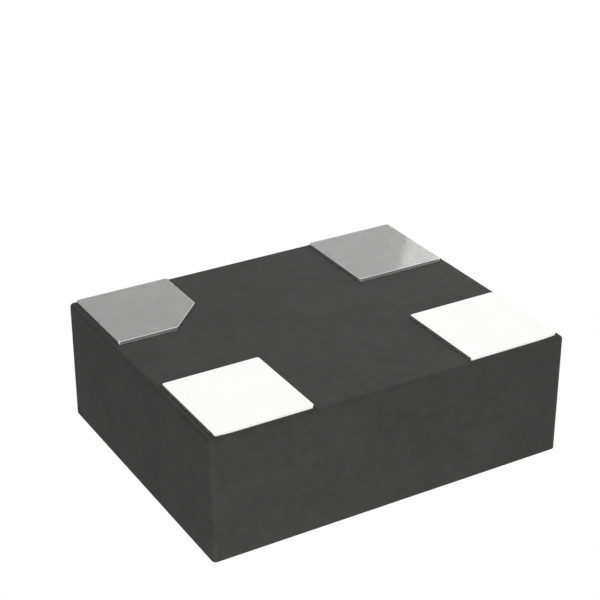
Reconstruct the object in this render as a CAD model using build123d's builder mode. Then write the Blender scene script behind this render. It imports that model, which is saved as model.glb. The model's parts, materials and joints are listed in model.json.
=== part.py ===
from build123d import *
import os

# Four-land MEMS oscillator in a moulded leadless package.
# Units are millimetres. The lands are down on Z = 0, where they meet the board, and +Z is up.
# +X runs along the long side, and the origin is the middle of the seating plane.
# Land 1, which has the bevelled corner, is at -X -Y, under the round mark in the top.

# Package
package_length = 2.50
package_width = 2.00
package_height = 0.85
standoff = 0.02
corner_radius = 0.028
lower_edge_radius = 0.025
top_edge_radius = 0.012

# Round mark sunk into the top, over land 1
mark_diameter = 0.20
mark_depth = 0.03
mark_from_end = 0.217
mark_from_side = 0.19

# Lands: a solder pad at each corner, with a half-etched shelf that keys it into the moulding
land_length = 0.655
land_width = 0.67
land_from_end = 0.04
land_from_side = 0.03
land_bevel = 0.25
land_corner_radius = 0.015
frame_thickness = 0.20
shelf_thickness = 0.10
shelf_reach = 0.12

# Driver die, glued across the inner ends of the four lands
film_thickness = 0.02
driver_length = 1.40
driver_width = 1.00
driver_thickness = 0.15

# Resonator die, glued on the driver die: base, moving layer and cap
resonator_length = 0.62
resonator_width = 0.52
resonator_offset = 0.18
base_thickness = 0.07
layer_thickness = 0.02
cap_thickness = 0.08
ledge_width = 0.13
chamber_side = 0.34
base_pocket_depth = 0.015
cap_pocket_depth = 0.03
ring_outer_radius = 0.12
ring_inner_radius = 0.085
tether_width = 0.014

# Gold bond wires: a ball at one end, a flattened stitch at the other
wire_diameter = 0.025
ball_diameter = 0.055
ball_height = 0.016
stitch_length = 0.075
stitch_width = 0.046
stitch_height = 0.016
driver_pad_from_edge = 0.08
land_stitch_from_driver = 0.30
land_loop_rise = 0.13
resonator_pad_from_edge = 0.05
resonator_wire_pitch = 0.09
resonator_wire_span = 0.24
resonator_loop_rise = 0.09

# Levels, from the board up
driver_film_level = frame_thickness
driver_level = driver_film_level + film_thickness
driver_top = driver_level + driver_thickness
resonator_film_level = driver_top
base_level = resonator_film_level + film_thickness
layer_level = base_level + base_thickness
layer_top = layer_level + layer_thickness
cap_top = layer_top + cap_thickness

# Places that follow from the sizes
land_x = package_length / 2 - land_from_end - land_length / 2
land_y = package_width / 2 - land_from_side - land_width / 2
shelf_length = land_length + shelf_reach
shelf_width = land_width + shelf_reach
resonator_x = -resonator_offset
cap_length = resonator_length - ledge_width
cap_x = resonator_x - ledge_width / 2
ledge_pad_x = resonator_x + resonator_length / 2 - resonator_pad_from_edge

pieces = []
os.makedirs("parts", exist_ok=True)


def keep(part, name):
    part.label = name
    export_step(part, f"parts/{name}.step")
    pieces.append(part)


def bond_wire(name, ball, stitch, rise):
    """A wire that climbs from a ball, bends over and comes down on a stitch."""
    foot = Vector(*ball)
    toe = Vector(*stitch)
    run = Vector(toe.X - foot.X, toe.Y - foot.Y, 0)
    heading = run.normalized()
    crest = foot + Vector(0, 0, rise)
    shoulder = foot + run * 0.55 + Vector(0, 0, rise * 0.86)
    landing = toe + Vector(0, 0, stitch_height * 0.8)
    with BuildPart() as wire:
        with BuildSketch(Plane.XY.offset(foot.Z)):
            with Locations((foot.X, foot.Y)):
                Circle(ball_diameter / 2)
        extrude(amount=ball_height)
        with BuildSketch(Plane(origin=toe, x_dir=heading, z_dir=(0, 0, 1))):
            SlotOverall(stitch_length, stitch_width)
        extrude(amount=stitch_height)
        with BuildLine() as path:
            FilletPolyline(foot + Vector(0, 0, ball_height / 2), crest, shoulder, landing, radius=wire_diameter * 1.4)
        with BuildSketch(Plane(origin=path.line @ 0, z_dir=path.line % 0)):
            Circle(wire_diameter / 2)
        sweep()
    keep(wire.part, name)


# Lands, numbered the way a chip's are: anticlockwise seen from above
corners = {
    "control": (-1, -1),
    "ground": (1, -1),
    "output": (1, 1),
    "supply": (-1, 1),
}
for number, (duty, (side_x, side_y)) in enumerate(corners.items(), start=1):
    with BuildPart() as land:
        with BuildSketch(Plane.XY) as pad:
            with Locations((side_x * land_x, side_y * land_y)):
                Rectangle(land_length, land_width)
            if number == 1:
                chamfer(pad.vertices().sort_by_distance((0, 0))[0], land_bevel)
            fillet(pad.vertices(), land_corner_radius)
        extrude(amount=frame_thickness)
        with BuildSketch(Plane.XY.offset(frame_thickness - shelf_thickness)) as shelf:
            with Locations((side_x * (land_x - shelf_reach / 2), side_y * (land_y - shelf_reach / 2))):
                Rectangle(shelf_length, shelf_width)
            if number == 1:
                chamfer(shelf.vertices().sort_by_distance((0, 0))[0], land_bevel)
        extrude(amount=shelf_thickness)
    keep(land.part, f"land_{number}_{duty}")

# Driver die and the film under it
with BuildPart() as driver_film:
    with BuildSketch(Plane.XY.offset(driver_film_level)):
        Rectangle(driver_length, driver_width)
    extrude(amount=film_thickness)
keep(driver_film.part, "driver_die_film")

with BuildPart() as driver_die:
    with BuildSketch(Plane.XY.offset(driver_level)):
        Rectangle(driver_length, driver_width)
    extrude(amount=driver_thickness)
keep(driver_die.part, "driver_die")

# Resonator die and the film under it
with BuildPart() as resonator_film:
    with BuildSketch(Plane.XY.offset(resonator_film_level)):
        with Locations((resonator_x, 0)):
            Rectangle(resonator_length, resonator_width)
    extrude(amount=film_thickness)
keep(resonator_film.part, "resonator_die_film")

with BuildPart() as resonator_base:
    with BuildSketch(Plane.XY.offset(base_level)):
        with Locations((resonator_x, 0)):
            Rectangle(resonator_length, resonator_width)
    extrude(amount=base_thickness)
    with BuildSketch(Plane.XY.offset(layer_level)):
        with Locations((cap_x, 0)):
            Rectangle(chamber_side, chamber_side)
    extrude(amount=-base_pocket_depth, mode=Mode.SUBTRACT)
keep(resonator_base.part, "resonator_base")

with BuildPart() as resonator_layer:
    with BuildSketch(Plane.XY.offset(layer_level)):
        with Locations((resonator_x, 0)):
            Rectangle(resonator_length, resonator_width)
        with Locations((cap_x, 0)):
            Rectangle(chamber_side, chamber_side, mode=Mode.SUBTRACT)
            Rectangle(chamber_side, tether_width)
            Rectangle(tether_width, chamber_side)
            Circle(ring_outer_radius)
            Circle(ring_inner_radius, mode=Mode.SUBTRACT)
    extrude(amount=layer_thickness)
keep(resonator_layer.part, "resonator_ring")

with BuildPart() as resonator_cap:
    with BuildSketch(Plane.XY.offset(layer_top)):
        with Locations((cap_x, 0)):
            Rectangle(cap_length, resonator_width)
    extrude(amount=cap_thickness)
    with BuildSketch(Plane.XY.offset(layer_top)):
        with Locations((cap_x, 0)):
            Rectangle(chamber_side, chamber_side)
    extrude(amount=cap_pocket_depth, mode=Mode.SUBTRACT)
keep(resonator_cap.part, "resonator_cap")

# Wires from the driver die out to the lands
pad_x = driver_length / 2 - driver_pad_from_edge
pad_y = driver_width / 2 - driver_pad_from_edge
stitch_x = driver_length / 2 + land_stitch_from_driver
stitch_y = pad_y + (stitch_x - pad_x) * 0.6
for duty, (side_x, side_y) in corners.items():
    bond_wire(
        f"{duty}_wire",
        (side_x * pad_x, side_y * pad_y, driver_top),
        (side_x * stitch_x, side_y * stitch_y, frame_thickness),
        land_loop_rise,
    )

# Wires from the resonator's ledge down to the driver die
signals = ["drive_wire_1", "drive_wire_2", "bias_wire", "sense_wire_1", "sense_wire_2"]
for place, signal in enumerate(signals):
    wire_y = (place - (len(signals) - 1) / 2) * resonator_wire_pitch
    bond_wire(
        signal,
        (ledge_pad_x, wire_y, layer_top),
        (ledge_pad_x + resonator_wire_span, wire_y, driver_top),
        resonator_loop_rise,
    )

# Moulded body, cast around everything else
with BuildPart() as body:
    with BuildSketch(Plane.XY.offset(standoff)):
        Rectangle(package_length, package_width)
    extrude(amount=package_height - standoff)
    fillet(body.edges().filter_by(Axis.Z), corner_radius)
    # a rim's rounding has to stay smaller than the rounding of the corners that it runs round
    fillet(body.edges().group_by(Axis.Z)[0], min(lower_edge_radius, corner_radius * 0.9))
    fillet(body.edges().group_by(Axis.Z)[-1], min(top_edge_radius, corner_radius * 0.9))
    with BuildSketch(Plane.XY.offset(package_height)):
        with Locations((mark_from_end - package_length / 2, mark_from_side - package_width / 2)):
            Circle(mark_diameter / 2)
    extrude(amount=-mark_depth, mode=Mode.SUBTRACT)
    # the sealed resonator die is one block here, so no moulding fills its chamber
    with BuildSketch(Plane.XY.offset(base_level)):
        with Locations((resonator_x, 0)):
            Rectangle(resonator_length, resonator_width)
    extrude(amount=base_thickness + layer_thickness, mode=Mode.SUBTRACT)
    with BuildSketch(Plane.XY.offset(layer_top)):
        with Locations((cap_x, 0)):
            Rectangle(cap_length, resonator_width)
    extrude(amount=cap_thickness, mode=Mode.SUBTRACT)
    add(pieces, mode=Mode.SUBTRACT)
keep(body.part, "moulded_body")
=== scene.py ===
import json
import math

import bpy
from mathutils import Matrix, Vector

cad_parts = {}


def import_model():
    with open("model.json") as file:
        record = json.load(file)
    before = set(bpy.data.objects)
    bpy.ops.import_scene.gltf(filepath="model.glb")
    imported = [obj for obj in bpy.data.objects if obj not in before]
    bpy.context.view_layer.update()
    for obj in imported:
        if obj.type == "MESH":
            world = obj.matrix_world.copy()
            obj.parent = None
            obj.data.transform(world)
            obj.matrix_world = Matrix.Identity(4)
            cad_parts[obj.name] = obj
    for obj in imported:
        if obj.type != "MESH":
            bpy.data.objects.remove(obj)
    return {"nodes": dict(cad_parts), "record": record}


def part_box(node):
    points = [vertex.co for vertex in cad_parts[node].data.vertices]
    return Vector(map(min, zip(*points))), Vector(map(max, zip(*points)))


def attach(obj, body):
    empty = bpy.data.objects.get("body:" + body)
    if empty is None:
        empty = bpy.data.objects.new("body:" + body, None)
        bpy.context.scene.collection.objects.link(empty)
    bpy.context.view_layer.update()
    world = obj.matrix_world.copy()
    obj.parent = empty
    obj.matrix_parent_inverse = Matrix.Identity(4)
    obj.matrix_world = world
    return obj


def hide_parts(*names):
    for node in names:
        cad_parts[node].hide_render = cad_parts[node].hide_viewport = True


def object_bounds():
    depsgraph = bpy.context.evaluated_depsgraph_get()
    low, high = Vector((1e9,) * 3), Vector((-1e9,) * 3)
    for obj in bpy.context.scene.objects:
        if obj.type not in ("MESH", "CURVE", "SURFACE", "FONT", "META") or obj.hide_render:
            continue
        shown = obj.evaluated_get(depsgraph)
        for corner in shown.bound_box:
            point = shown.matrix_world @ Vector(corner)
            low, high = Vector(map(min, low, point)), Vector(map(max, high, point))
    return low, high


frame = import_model()
cad_low, cad_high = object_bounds()

# ---------------------------------------------------------------------------------------------
# Sizes, in millimetres. Each mesh is made in millimetres and brought to metres at the end.
# ---------------------------------------------------------------------------------------------
METRE = 1000.0
CORNERS = {
    "land_1_control": (-1, -1),
    "land_2_ground": (1, -1),
    "land_3_output": (1, 1),
    "land_4_supply": (-1, 1),
}
BEVELLED_LAND = "land_1_control"

block_low, block_high = [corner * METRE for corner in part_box("moulded_body")]
block_length, block_width, block_height = block_high - block_low
block_middle = (block_low + block_high) / 2
land_low, land_high = [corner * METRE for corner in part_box(BEVELLED_LAND)]

corner_radius = 0.028
corner_steps = 10
lower_edge_radius = 0.025
top_edge_radius = 0.012
rim_steps = 6
cut_edge_break = 0.003
cut_edge_steps = 3
mark_diameter = 0.20
mark_depth = 0.03
mark_from_end = 0.217
mark_from_side = 0.19
mark_steps = 72
mark_edge_from = mark_diameter * 0.52
mark_edge_to = mark_diameter * 0.55
inner_edge_from = lower_edge_radius + 0.001
inner_edge_to = lower_edge_radius + 0.002

land_thickness = land_high.z - land_low.z
shelf_thickness = 0.10
shelf_reach = 0.12
land_bevel = 0.25
land_from_end = land_low.x - block_low.x
land_from_side = land_low.y - block_low.y
land_length = land_high.x - land_low.x - shelf_reach
land_width = land_high.y - land_low.y - shelf_reach
land_corner_radius = 0.015
land_corner_steps = 5
land_edge_break = 0.0025

# values this near are the same, points this near are joined, and large faces rule the shading of
# the rounded edges beside them
near_enough = 0.001
joined_points = 0.0001
full_weight = 100


# ---------------------------------------------------------------------------------------------
# Node trees: sums are written as sums, and every other node comes from Graph.node
# ---------------------------------------------------------------------------------------------
class Value:
    """One socket of a tree, which adds a Math node wherever it is used in a sum."""

    def __init__(self, graph, socket):
        self.graph = graph
        self.socket = socket

    def maths(self, operation, *terms):
        return self.graph.node("ShaderNodeMath", {"operation": operation}, dict(enumerate(terms)))[0]

    def __add__(self, other):
        return self.maths("ADD", self, other)

    def __radd__(self, other):
        return self.maths("ADD", other, self)

    def __sub__(self, other):
        return self.maths("SUBTRACT", self, other)

    def __rsub__(self, other):
        return self.maths("SUBTRACT", other, self)

    def __mul__(self, other):
        return self.maths("MULTIPLY", self, other)

    def __rmul__(self, other):
        return self.maths("MULTIPLY", other, self)

    def __truediv__(self, other):
        return self.maths("DIVIDE", self, other)

    def __rtruediv__(self, other):
        return self.maths("DIVIDE", other, self)

    def __abs__(self):
        return self.maths("ABSOLUTE", self)

    def least(self, other):
        return self.maths("MINIMUM", self, other)

    def most(self, other):
        return self.maths("MAXIMUM", self, other)

    def near(self, other):
        """1 where the two are the same, and 0 elsewhere."""
        return self.maths("COMPARE", self, other, near_enough)

    def rise(self, start, end):
        """0 up to start, 1 from end on, and smooth between. start may be the larger."""
        sockets = {0: self, 1: start, 2: end}
        return self.graph.node("ShaderNodeMapRange", {"interpolation_type": "SMOOTHSTEP"}, sockets)[0]


class Outputs:
    """The outputs of a made node, by name or place."""

    def __init__(self, graph, node):
        self.graph = graph
        self.node = node

    def __getitem__(self, key):
        return Value(self.graph, self.node.outputs[key])


class Graph:
    """A node tree that is written from code, and starts empty."""

    def __init__(self, tree):
        self.tree = tree
        tree.nodes.clear()

    def node(self, kind, settings=None, sockets=None):
        """Adds a node: its type, its settings, then a value, a link or a list of links for sockets."""
        made = self.tree.nodes.new(kind)
        for name, value in (settings or {}).items():
            setattr(made, name, value)
        for key, value in (sockets or {}).items():
            links = value if isinstance(value, list) else [value]
            for link in links:
                if isinstance(link, Value):
                    self.tree.links.new(link.socket, made.inputs[key])
                else:
                    made.inputs[key].default_value = link
        return Outputs(self, made)


class Finish(Graph):
    """A material, with the patterns that its finishes are made from. Patterns are in millimetres."""

    def __init__(self, name, slot):
        self.material = bpy.data.materials.new(name)
        self.material.use_nodes = True
        super().__init__(self.material.node_tree)
        self.slot = slot
        sockets = {"Vector": self.node("ShaderNodeTexCoord")["Object"], "Scale": (METRE,) * 3}
        self.place = self.node("ShaderNodeMapping", None, sockets)["Vector"]

    def stretched(self, x, y, z):
        return self.node("ShaderNodeMapping", None, {"Vector": self.place, "Scale": (x, y, z)})["Vector"]

    def noise(self, scale, detail=2.0, roughness=0.5, place=None):
        sockets = {"Vector": place or self.place, "Scale": scale, "Detail": detail, "Roughness": roughness}
        return self.node("ShaderNodeTexNoise", {"noise_dimensions": "3D"}, sockets)["Fac"]

    def grains(self, scale):
        """Distance from the middle of the nearest grain."""
        sockets = {"Vector": self.place, "Scale": scale}
        return self.node("ShaderNodeTexVoronoi", {"feature": "F1"}, sockets)["Distance"]

    def blend(self, share, first, second):
        sockets = {0: share, 6: first, 7: second}
        return self.node("ShaderNodeMix", {"data_type": "RGBA"}, sockets)[2]

    def bumps(self, height, depth, strength):
        sockets = {"Height": height, "Distance": depth / METRE, "Strength": strength}
        return self.node("ShaderNodeBump", None, sockets)["Normal"]

    def surface(self, sockets):
        shader = self.node("ShaderNodeBsdfPrincipled", None, sockets)
        self.node("ShaderNodeOutputMaterial", None, {"Surface": shader["BSDF"]})
        return self


class Recipe(Graph):
    """A Geometry Nodes tree with named inputs, from which plain meshes are made."""

    KINDS = {float: "NodeSocketFloat", int: "NodeSocketInt", tuple: "NodeSocketVector"}

    def __init__(self, name, sizes):
        super().__init__(bpy.data.node_groups.new(name, "GeometryNodeTree"))
        face = self.tree.interface
        face.new_socket("Blank", in_out="INPUT", socket_type="NodeSocketGeometry")
        for label, value in sizes.items():
            kind = self.KINDS[type(value)]
            face.new_socket(label, in_out="INPUT", socket_type=kind).default_value = value
        face.new_socket("Finish", in_out="INPUT", socket_type="NodeSocketMaterial")
        face.new_socket("Geometry", in_out="OUTPUT", socket_type="NodeSocketGeometry")
        self.given = self.node("NodeGroupInput")

    def prism(self, outline, place, depth):
        """The closed solid between a flat outline, moved to its place, and its copy, depth higher."""
        flat = self.node("GeometryNodeFillCurve", {"mode": "NGONS"}, {"Curve": outline})["Mesh"]
        floor = self.moved(flat, place)
        up = self.node("ShaderNodeCombineXYZ", None, {"Z": depth})["Vector"]
        sockets = {"Mesh": floor, "Offset": up, "Individual": False}
        raised = self.node("GeometryNodeExtrudeMesh", None, sockets)["Mesh"]
        under = self.node("GeometryNodeFlipFaces", None, {"Mesh": floor})["Mesh"]
        both = self.node("GeometryNodeJoinGeometry", None, {"Geometry": [raised, under]})["Geometry"]
        sockets = {"Geometry": both, "Distance": joined_points}
        return self.node("GeometryNodeMergeByDistance", None, sockets)["Geometry"]

    def broken_edges(self, solid, weight):
        """Marks edges for the finishing bevel, by a weight from 0 to 1."""
        settings = {"data_type": "FLOAT", "domain": "EDGE"}
        sockets = {"Geometry": solid, "Name": "bevel_weight_edge", "Value": weight}
        return self.node("GeometryNodeStoreNamedAttribute", settings, sockets)["Geometry"]

    def combine(self, operation, sockets):
        settings = {"operation": operation, "solver": "EXACT"}
        return self.node("GeometryNodeMeshBoolean", settings, sockets)["Mesh"]

    def moved(self, geometry, place):
        sockets = {"Geometry": geometry, "Translation": place}
        return self.node("GeometryNodeTransform", None, sockets)["Geometry"]

    def height(self):
        """Height of a point, or of an edge's middle."""
        place = self.node("GeometryNodeInputPosition")["Position"]
        return self.node("ShaderNodeSeparateXYZ", None, {"Vector": place})["Z"]

    def end(self, geometry):
        real = self.node("GeometryNodeRealizeInstances", None, {"Geometry": geometry})["Geometry"]
        sockets = {"Geometry": real, "Material": self.given["Finish"]}
        finished = self.node("GeometryNodeSetMaterial", None, sockets)["Geometry"]
        self.node("NodeGroupOutput", None, {"Geometry": finished})
        return self

    def shaped(self, name, values, break_width, break_steps, blank=None):
        """A plain mesh in millimetres from this recipe. Marked edges are rounded."""
        maker = bpy.data.objects.new(name + "_maker", blank or bpy.data.meshes.new(name + "_blank"))
        bpy.context.scene.collection.objects.link(maker)
        growth = maker.modifiers.new("Recipe", "NODES")
        growth.node_group = self.tree
        for item in self.tree.interface.items_tree:
            if item.in_out == "INPUT" and item.name in values:
                growth[item.identifier] = values[item.name]
        edges = maker.modifiers.new("Rounded edges", "BEVEL")
        edges.limit_method = "WEIGHT"
        edges.width = break_width
        edges.segments = break_steps
        weights = maker.modifiers.new("Even shading", "WEIGHTED_NORMAL")
        weights.weight = full_weight
        graph = bpy.context.evaluated_depsgraph_get()
        mesh = bpy.data.meshes.new_from_object(maker.evaluated_get(graph), depsgraph=graph)
        bpy.data.objects.remove(maker)
        mesh.name = name
        return mesh

    def make(self, name, finish, values, break_width, break_steps, blank=None):
        """A piece in metres, at its place and with its finish, that rides on the part."""
        values = {**values, "Finish": finish.material}
        mesh = self.shaped(name, values, break_width, break_steps, blank)
        mesh.transform(Matrix.Scale(1 / METRE, 4))
        piece = bpy.data.objects.new(name, mesh)
        bpy.context.scene.collection.objects.link(piece)
        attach(piece, "root")
        return piece


# ---------------------------------------------------------------------------------------------
# Finishes: colours, then reaches and depths in millimetres
# ---------------------------------------------------------------------------------------------
EPOXY_DARK = (0.0305, 0.0305, 0.0297, 1)
EPOXY_PALE = (0.0455, 0.0455, 0.0443, 1)
EPOXY_GLINT = (0.075, 0.075, 0.073, 1)
# the next colour is a painted highlight with handling wear, for the upright corners
EPOXY_RUB_AND_HIGHLIGHT = (0.066, 0.066, 0.064, 1)
# the next colour is painted shade round the lands, where they meet the moulding
EPOXY_PAINTED_SHADE = (0.008, 0.008, 0.008, 1)
TIN_DARK = (0.955, 0.955, 0.945, 1)
TIN_PALE = (0.99, 0.99, 0.985, 1)
TIN_PIT = (0.76, 0.76, 0.74, 1)

# reach of the painted highlight with handling wear on the upright corners
rub_highlight_from = 0.040
rub_highlight_full = 0.006
# reach and top of the painted shade round the lands
land_shade_from = 0.015
land_shade_full = 0.003
land_shade_top = block_low.z + 0.008
land_shade_top_full = block_low.z + 0.004
quarter_blend = 0.01
cut_side_from = 0.001
cut_side_full = 0.005
epoxy_relief = 0.0012
tin_relief = 0.00005
inner_relief = 0.0003

# material slot: name, dark and light colour, pattern scale, metallic, roughness
HIDDEN_FINISHES = {
    "silicon": ("bare_silicon", (0.10, 0.11, 0.13, 1), (0.16, 0.17, 0.20, 1), 12.0, 0.6, 0.25),
    "die_film": ("die_glue", (0.60, 0.56, 0.44, 1), (0.72, 0.69, 0.58, 1), 20.0, 0.0, 0.5),
    "gold_wire": ("gold_wire", (0.90, 0.66, 0.26, 1), (0.98, 0.78, 0.38, 1), 30.0, 1.0, 0.22),
}


def moulded_epoxy():
    """Black filled epoxy: matte grain, glints of filler, a painted highlight with rub wear on the upright
    corners, and painted shade round the lands.
    """
    epoxy = Finish("black_epoxy", "moulding")
    cloud = epoxy.noise(scale=2.6, detail=4.0, roughness=0.55)
    mottle = epoxy.noise(scale=14.0, detail=3.0, roughness=0.6)
    flow = epoxy.noise(scale=1.0, detail=3.0, roughness=0.5, place=epoxy.stretched(1.4, 6.0, 3.0))
    grain = epoxy.noise(scale=95.0, detail=3.0, roughness=0.65)
    filler = epoxy.grains(48.0)
    glint = filler.rise(0.22, 0.05) * epoxy.noise(30.0).rise(0.52, 0.66)

    corner = epoxy.node("ShaderNodeSeparateXYZ", None, {"Vector": epoxy.place})
    half = (block_high - block_low) / 2
    out_x = abs(corner["X"] - block_middle.x)
    out_y = abs(corner["Y"] - block_middle.y)

    # a painted highlight with handling wear makes the upright corners paler, where the skin is near an end
    # and a side at once
    to_corner = (half.x - out_x).most(half.y - out_y)
    patches = epoxy.noise(scale=7.0, detail=3.0, roughness=0.6).rise(0.2, 0.75)
    rub_and_highlight = to_corner.rise(rub_highlight_from, rub_highlight_full) * patches

    # a dark band of painted shade follows each land's outline, and the bevel of the one in the low quarter
    land_x = half.x - land_from_end - land_length / 2
    land_y = half.y - land_from_side - land_width / 2
    across = out_x - land_x
    along = out_y - land_y
    past_sides = (abs(across) - land_length / 2).most(abs(along) - land_width / 2)
    past_bevel = (land_bevel - (land_length + land_width) / 2 - across - along) / math.sqrt(2)
    low_end = (corner["X"] - block_middle.x).rise(quarter_blend, -quarter_blend)
    on_bevelled = low_end * (corner["Y"] - block_middle.y).rise(quarter_blend, -quarter_blend)
    past_land = past_sides.most(past_bevel * on_bevelled - (1 - on_bevelled))
    painted_land_shade = past_land.rise(land_shade_from, land_shade_full) * corner["Z"].rise(land_shade_top, land_shade_top_full)

    shade = cloud * 0.3 + mottle * 0.35 + flow * 0.15 + grain * 0.2
    skin = epoxy.blend(shade.rise(0.36, 0.64), EPOXY_DARK, EPOXY_PALE)
    skin = epoxy.blend(glint * 0.35, skin, EPOXY_GLINT)
    # painted highlight with handling wear on the upright corners
    skin = epoxy.blend(rub_and_highlight * 0.5, skin, EPOXY_RUB_AND_HIGHLIGHT)
    # painted shade round the lands
    skin = epoxy.blend(painted_land_shade * 0.75, skin, EPOXY_PAINTED_SHADE)
    height = grain * 0.6 + mottle * 0.25 + filler.rise(0.3, 0.0) * 0.5
    return epoxy.surface({
        "Base Color": skin,
        "Roughness": 0.68 + (cloud - 0.5) * 0.08 - glint * 0.12 - rub_and_highlight * 0.08,
        "Specular IOR Level": 0.3,
        "Normal": epoxy.bumps(height, epoxy_relief, 0.55),
    })


def tin_plating():
    """Bright tin on the copper lands: a smooth face with a light haze, and rough cut sides."""
    tin = Finish("tin_plating", "land_plating")
    haze = tin.noise(scale=3.2, detail=3.0, roughness=0.5)
    crystal = tin.noise(scale=60.0, detail=3.0, roughness=0.6)
    rolled = tin.noise(scale=1.0, detail=2.0, roughness=0.6, place=tin.stretched(5.0, 140.0, 5.0))
    pits = tin.grains(26.0).rise(0.12, 0.04) * tin.noise(11.0).rise(0.58, 0.7)
    shade = (haze * 0.5 + crystal * 0.3 + rolled * 0.2).rise(0.3, 0.7)
    skin = tin.blend(shade, TIN_DARK, TIN_PALE)
    skin = tin.blend(pits * 0.4, skin, TIN_PIT)
    height = tin.node("ShaderNodeSeparateXYZ", None, {"Vector": tin.place})["Z"]
    side = height.rise(cut_side_from, cut_side_full)
    return tin.surface({
        "Base Color": skin,
        "Metallic": 1.0,
        "Roughness": 0.06 + haze * 0.02 + crystal * 0.02 + pits * 0.15 + side * 0.2,
        "Normal": tin.bumps(crystal * 0.5 + rolled * 0.4 - pits * 0.6, tin_relief, 0.3),
    })


def hidden_finish(slot, name, dark, light, scale, metallic, roughness):
    """A finish for what the moulding hides: two close colours in a fine grain."""
    inner = Finish(name, slot)
    cloud = inner.noise(scale=scale, detail=3.0, roughness=0.6)
    fine = inner.noise(scale=scale * 7, detail=2.0, roughness=0.5)
    return inner.surface({
        "Base Color": inner.blend((cloud * 0.6 + fine * 0.4).rise(0.3, 0.7), dark, light),
        "Metallic": metallic,
        "Roughness": roughness + (fine - 0.5) * 0.1,
        "Normal": inner.bumps(fine, inner_relief, 0.3),
    })


# ---------------------------------------------------------------------------------------------
# Lands: a pad that stands out of the underside, and the shelf that keys it into the moulding
# ---------------------------------------------------------------------------------------------
LAND_SIZES = {
    "Centre": (0.0, 0.0, 0.0),
    "Length": land_length,
    "Width": land_width,
    "Thickness": land_thickness,
    "Shelf centre": (0.0, 0.0, 0.0),
    "Shelf reach": shelf_reach,
    "Shelf thickness": shelf_thickness,
    "Bevel": 0.0,
    "Bevelled corner": 0,
    "Corner radius": land_corner_radius,
    "Corner steps": land_corner_steps,
}


def land_recipe():
    land = Recipe("Solder land", LAND_SIZES)
    given = land.given
    corner = land.node("GeometryNodeInputIndex")["Index"]

    def outline(length, width):
        sockets = {"Width": length, "Height": width}
        plain = land.node("GeometryNodeCurvePrimitiveQuadrilateral", None, sockets)
        cut = corner.near(given["Bevelled corner"]) * given["Bevel"]
        sockets = {"Curve": plain["Curve"], "Count": 1, "Radius": cut}
        bevelled = land.node("GeometryNodeFilletCurve", {"mode": "POLY"}, sockets)["Curve"]
        sockets = {"Curve": bevelled, "Count": given["Corner steps"], "Radius": given["Corner radius"]}
        return land.node("GeometryNodeFilletCurve", {"mode": "POLY"}, sockets)["Curve"]

    pad = land.prism(outline(given["Length"], given["Width"]), given["Centre"], given["Thickness"])
    reach = given["Shelf reach"]
    wide = outline(given["Length"] + reach, given["Width"] + reach)
    shelf = land.prism(wide, given["Shelf centre"], given["Shelf thickness"])
    solid = land.combine("UNION", {"Mesh 2": [pad, shelf]})
    height = land.height()
    return land.end(land.broken_edges(solid, height.near(0.0)))


def land_values(node):
    """What one land gives the recipe: its own place, and its bevel if it has one."""
    side_x, side_y = CORNERS[node]
    x = side_x * (block_length / 2 - land_from_end - land_length / 2)
    y = side_y * (block_width / 2 - land_from_side - land_width / 2)
    shelf_x = x - side_x * shelf_reach / 2
    shelf_y = y - side_y * shelf_reach / 2
    shelf_z = land_thickness - shelf_thickness
    return {
        "Centre": (block_middle.x + x, block_middle.y + y, 0.0),
        "Shelf centre": (block_middle.x + shelf_x, block_middle.y + shelf_y, shelf_z),
        "Bevel": land_bevel if node == BEVELLED_LAND else 0.0,
    }


# ---------------------------------------------------------------------------------------------
# Moulded block: rounded upright corners, the round mark in its top, and the pockets it is cast with
# ---------------------------------------------------------------------------------------------
DIE_STACK = [
    "driver_die_film",
    "driver_die",
    "resonator_die_film",
    "resonator_base",
    "resonator_ring",
    "resonator_cap",
]
BLANK_SIZES = {
    "Length": block_length,
    "Width": block_width,
    "Height": block_height,
    "Standoff": block_low.z,
    "Corner radius": corner_radius,
    "Corner steps": corner_steps,
    "Lower rim": lower_edge_radius,
    "Top rim": top_edge_radius,
}
BLOCK_SIZES = {
    "Length": block_length,
    "Width": block_width,
    "Standoff": block_low.z,
    "Mark centre": (block_low.x + mark_from_end, block_low.y + mark_from_side, block_high.z),
    "Mark radius": mark_diameter / 2,
    "Mark depth": mark_depth,
    "Mark steps": mark_steps,
}


def blank_recipe():
    """The block before anything is cast into it. The top rim is marked for a smaller radius."""
    blank = Recipe("Moulded blank", BLANK_SIZES)
    given = blank.given
    sockets = {"Width": given["Length"], "Height": given["Width"]}
    plain = blank.node("GeometryNodeCurvePrimitiveQuadrilateral", None, sockets)["Curve"]
    sockets = {"Curve": plain, "Count": given["Corner steps"], "Radius": given["Corner radius"]}
    rounded = blank.node("GeometryNodeFilletCurve", {"mode": "POLY"}, sockets)["Curve"]
    foot = blank.node("ShaderNodeCombineXYZ", None, {"Z": given["Standoff"]})["Vector"]
    solid = blank.prism(rounded, foot, given["Height"])
    height = blank.height()
    lower = height.near(given["Standoff"])
    top = height.near(given["Standoff"] + given["Height"])
    return blank.end(blank.broken_edges(solid, lower + top * given["Top rim"] / given["Lower rim"]))


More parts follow.
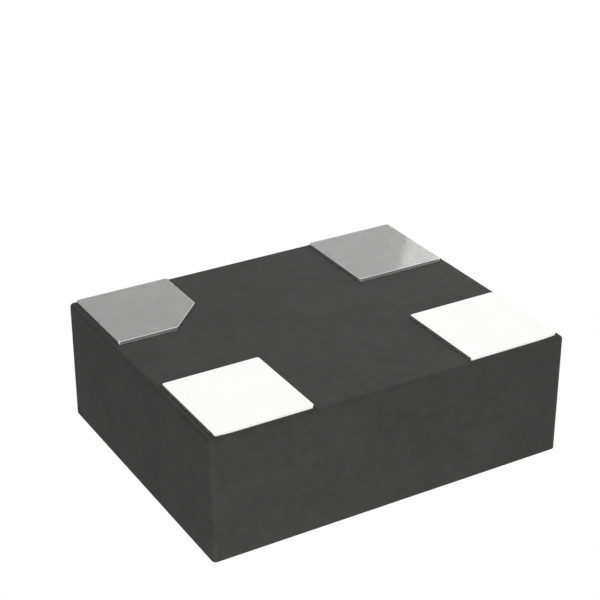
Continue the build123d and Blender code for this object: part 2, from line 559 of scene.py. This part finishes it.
def block_recipe(land):
    """Sinks the mark, the lands and the die stack into the blank, and marks the cut edges that show."""
    block = Recipe("Moulded block", BLOCK_SIZES)
    given = block.given

    # twice as deep as the mark, and centred on the top, so that half of it cuts
    twice = given["Mark depth"] * 2
    sockets = {"Vertices": given["Mark steps"], "Radius": given["Mark radius"], "Depth": twice}
    disc = block.node("GeometryNodeMeshCylinder", None, sockets)["Mesh"]
    cuts = [block.moved(disc, given["Mark centre"])]
    for node in CORNERS:
        pocket = block.node("GeometryNodeGroup", {"node_tree": land.tree}, land_values(node))
        cuts.append(pocket["Geometry"])
    for node in DIE_STACK:
        low, high = [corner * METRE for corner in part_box(node)]
        cube = block.node("GeometryNodeMeshCube", None, {"Size": high - low})["Mesh"]
        cuts.append(block.moved(cube, (low + high) / 2))
    solid = block.combine("DIFFERENCE", {"Mesh 1": given["Blank"], "Mesh 2": cuts})

    place = block.node("GeometryNodeInputPosition")["Position"]
    at = block.node("ShaderNodeSeparateXYZ", None, {"Vector": place})
    sockets = {0: place, 1: given["Mark centre"]}
    from_mark = block.node("ShaderNodeVectorMath", {"operation": "DISTANCE"}, sockets)["Value"]
    on_mark = from_mark.rise(mark_edge_to, mark_edge_from) * at["Z"].near(block_high.z)
    to_wall = (given["Length"] / 2 - abs(at["X"])).least(given["Width"] / 2 - abs(at["Y"]))
    inside_rim = to_wall.rise(inner_edge_from, inner_edge_to)
    on_pocket = inside_rim * at["Z"].near(given["Standoff"])
    return block.end(block.broken_edges(solid, on_mark + on_pocket))


# ---------------------------------------------------------------------------------------------
# Making the pieces
# ---------------------------------------------------------------------------------------------
epoxy = moulded_epoxy()
tin = tin_plating()
land = land_recipe()
block = block_recipe(land)

blank = blank_recipe().shaped("moulded_blank", {}, lower_edge_radius, rim_steps)
body = block.make("moulded_block", epoxy, {}, cut_edge_break, cut_edge_steps, blank)
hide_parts("moulded_body")
for node in CORNERS:
    pad = land.make(node + "_plated", tin, land_values(node), land_edge_break, cut_edge_steps)
    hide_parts(node)

inner = {slot: hidden_finish(slot, *values) for slot, values in HIDDEN_FINISHES.items()}
slots = {entry["node"]: entry["material_slot"] for entry in frame["record"]["subparts"]}
for name, node in frame["nodes"].items():
    if slots[name] in inner:
        node.material_slots[0].material = inner[slots[name]].material


# ---------------------------------------------------------------------------------------------
# Studio
# ---------------------------------------------------------------------------------------------
middle = (cad_low + cad_high) / 2
reach = (cad_high - cad_low).length
floor_colour = (0.93, 0.93, 0.93, 1)
floor_fades_from = reach * 3
floor_fades_to = reach * 9
floor_half = reach * 10
far_off = 5.0
clip_near = 0.01
clip_far = 100

# the part of the lands' plane that mirrors the lower card, in millimetres: one side of the middle,
# less the corner that lies farthest from the camera
MIRRORED_BELOW = [(-1.6, -1.6), (2.0, -1.6), (1.54, -1.10), (0.615, 0.0), (-1.6, 0.0)]


def sheet_paint(name):
    """A new material for a sheet, and its empty tree."""
    paint = bpy.data.materials.new(name)
    paint.use_nodes = True
    return paint, Graph(paint.node_tree)


def stage_sheet(name, corners, paint, hidden_from):
    """A flat sheet of the studio, which the given kinds of ray pass."""
    mesh = bpy.data.meshes.new(name)
    mesh.from_pydata(corners, [], [tuple(range(len(corners)))])
    mesh.materials.append(paint)
    holder = bpy.data.objects.new(name, mesh)
    bpy.context.scene.collection.objects.link(holder)
    for ray in hidden_from:
        setattr(holder, "visible_" + ray, False)


def pale_floor():
    """A sheet under the lands that shows from above only, and fades out far from the part."""
    paint, sheet = sheet_paint("pale_floor")
    place = sheet.node("ShaderNodeTexCoord")["Object"]
    distance = sheet.node("ShaderNodeVectorMath", {"operation": "LENGTH"}, {0: place})["Value"]
    behind = sheet.node("ShaderNodeNewGeometry")["Backfacing"]
    gone = behind.most(distance.rise(floor_fades_from, floor_fades_to))
    plain = sheet.node("ShaderNodeBsdfDiffuse", None, {"Color": floor_colour})["BSDF"]
    clear = sheet.node("ShaderNodeBsdfTransparent")["BSDF"]
    shown = sheet.node("ShaderNodeMixShader", None, {0: gone, 1: plain, 2: clear})["Shader"]
    sheet.node("ShaderNodeOutputMaterial", None, {"Surface": shown})
    corners = [(x * floor_half, y * floor_half, 0) for x, y in ((-1, -1), (1, -1), (1, 1), (-1, 1))]
    # light from below passes it, and the part's shadow still falls on it
    stage_sheet("studio_floor", corners, paint, ("diffuse", "glossy", "transmission", "shadow"))


def direction(heading, climb):
    """The unit vector at a heading from +X towards +Y, and a climb above the horizon, in degrees."""
    turn, rise = math.radians(heading), math.radians(climb)
    return Vector((math.cos(turn) * math.cos(rise), math.sin(turn) * math.cos(rise), math.sin(rise)))


def card(name, corners, level, growth=0.0):
    """A flat card that shows in reflections only, of an even level or one that grows towards +X."""
    paint, sheet = sheet_paint(name)
    place = sheet.node("ShaderNodeTexCoord")["Object"]
    across = sheet.node("ShaderNodeSeparateXYZ", None, {"Vector": place})["X"]
    shade = level + across.rise(0.0, reach) * growth
    glow = sheet.node("ShaderNodeEmission", None, {"Strength": shade})["Emission"]
    sheet.node("ShaderNodeOutputMaterial", None, {"Surface": glow})
    stage_sheet(name, corners, paint, ("camera", "diffuse", "transmission", "shadow"))


def card_below(drop, level, growth):
    """Two of the lands mirror this grey card, and the other two the white beyond its edges."""
    eye = bpy.context.scene.camera.location * METRE
    spread = (drop - eye.z) / -eye.z
    corners = []
    for x, y in MIRRORED_BELOW:
        corner = Vector((eye.x + (x - eye.x) * spread, eye.y + (y - eye.y) * spread, -drop))
        corners.append(corner / METRE)
    card("card_below", corners, level, growth)


def card_beside(heading, climb, level, size):
    """A square card that faces the part, for the side that stays dark."""
    away = direction(heading, climb)
    across = away.cross(Vector((0, 0, 1))).normalized() * reach * size / 2
    above = across.cross(away)
    centre = middle + away * reach * far_off
    corners = [centre + across * x + above * y for x, y in ((1, 1), (-1, 1), (-1, -1), (1, -1))]
    card("card_beside", corners, level)


def lamp(name, heading, climb, level, size, reaches=far_off):
    """A soft square lamp that lights a facing white surface in the part's middle to level."""
    distance = reach * reaches
    light = bpy.data.lights.new(name, "AREA")
    light.shape = "SQUARE"
    light.size = reach * size
    light.energy = level * math.pi ** 2 * distance ** 2
    holder = bpy.data.objects.new(name, light)
    away = direction(heading, climb)
    holder.location = middle + away * distance
    holder.rotation_euler = away.to_track_quat("Z", "Y").to_euler()
    holder.visible_camera = False
    holder.visible_glossy = False
    bpy.context.scene.collection.objects.link(holder)


def world(level):
    """White to the camera and in reflections, and an even light of this level on everything else."""
    sky = bpy.data.worlds.new("studio_world")
    sky.use_nodes = True
    air = Graph(sky.node_tree)
    rays = air.node("ShaderNodeLightPath")
    seen = rays["Is Camera Ray"].most(rays["Is Glossy Ray"]).most(rays["Is Transmission Ray"])
    white = (1.0, 1.0, 1.0, 1.0)
    bright = air.node("ShaderNodeBackground", None, {"Color": white, "Strength": 1.0})["Background"]
    light = air.node("ShaderNodeBackground", None, {"Color": white, "Strength": level})["Background"]
    both = air.node("ShaderNodeMixShader", None, {0: seen, 1: light, 2: bright})["Shader"]
    air.node("ShaderNodeOutputWorld", None, {"Surface": both})
    bpy.context.scene.world = sky


def camera(aim, heading, climb, distance, lens):
    """A camera that looks along heading and climb at aim, with the part's underside uppermost."""
    view = direction(heading, climb)
    across = view.cross(Vector((0, 0, -1))).normalized()
    above = across.cross(view)
    holder = bpy.data.objects.new("camera", bpy.data.cameras.new("camera"))
    turn = Matrix((across, above, -view)).transposed().to_4x4()
    holder.matrix_world = Matrix.Translation(aim - view * distance) @ turn
    holder.data.lens = lens
    holder.data.clip_start = distance * clip_near
    holder.data.clip_end = distance * clip_far
    bpy.context.scene.collection.objects.link(holder)
    bpy.context.scene.camera = holder


pale_floor()
world(level=0.58)
lamp("key_above", heading=300, climb=58, level=0.28, size=3)
lamp("fill_above", heading=60, climb=50, level=0.18, size=4)
lamp("key_below", heading=0, climb=-65, level=0.42, size=3)
lamp("corner_fill", heading=120, climb=16, level=0.17, size=0.5, reaches=1.2)
aim = Vector((0.0524, -0.2356, 0.0)) / METRE
camera(aim, heading=-59.68, climb=26.71, distance=10.505 / METRE, lens=96.64)
card_below(drop=2.0, level=0.58, growth=0.06)
card_beside(heading=246, climb=8, level=0.38, size=11)

bpy.context.scene.view_settings.view_transform = "Standard"
